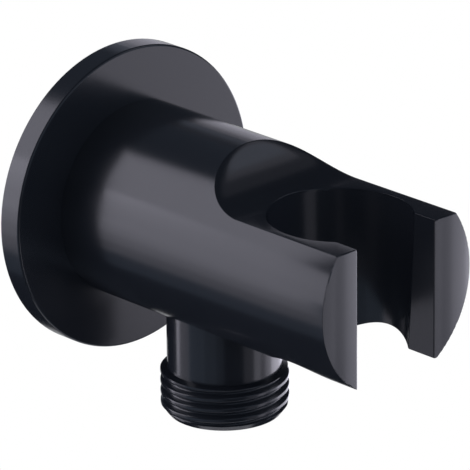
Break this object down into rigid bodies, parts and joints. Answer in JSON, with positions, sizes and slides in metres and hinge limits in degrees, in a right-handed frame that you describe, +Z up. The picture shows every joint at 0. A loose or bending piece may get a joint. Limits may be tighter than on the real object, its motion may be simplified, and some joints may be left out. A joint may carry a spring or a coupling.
{
  "type": "wall outlet elbow",
  "caption": "Round wall outlet elbow: a flanged bar with a threaded hose outlet below and an open-fronted tapered cradle that holds a hand shower.",
  "frame": {"origin": "centre of the flange's back face, on the wall plane", "axes": "+Z up, +Y into the wall, -Y out into the room towards the cradle, +X to the right as seen from the room"},
  "size_m": [0.051, 0.0768, 0.0567],
  "materials": {
    "black_coat": "satin black coat on brass",
    "seal_rubber": "plain black rubber"
  },
  "bodies": {
    "root": {"elbow_body": "black_coat", "wall_flange": "black_coat", "outlet_nipple": "black_coat", "wall_gasket": "seal_rubber", "nipple_seal": "seal_rubber"}
  },
  "joints": []
}
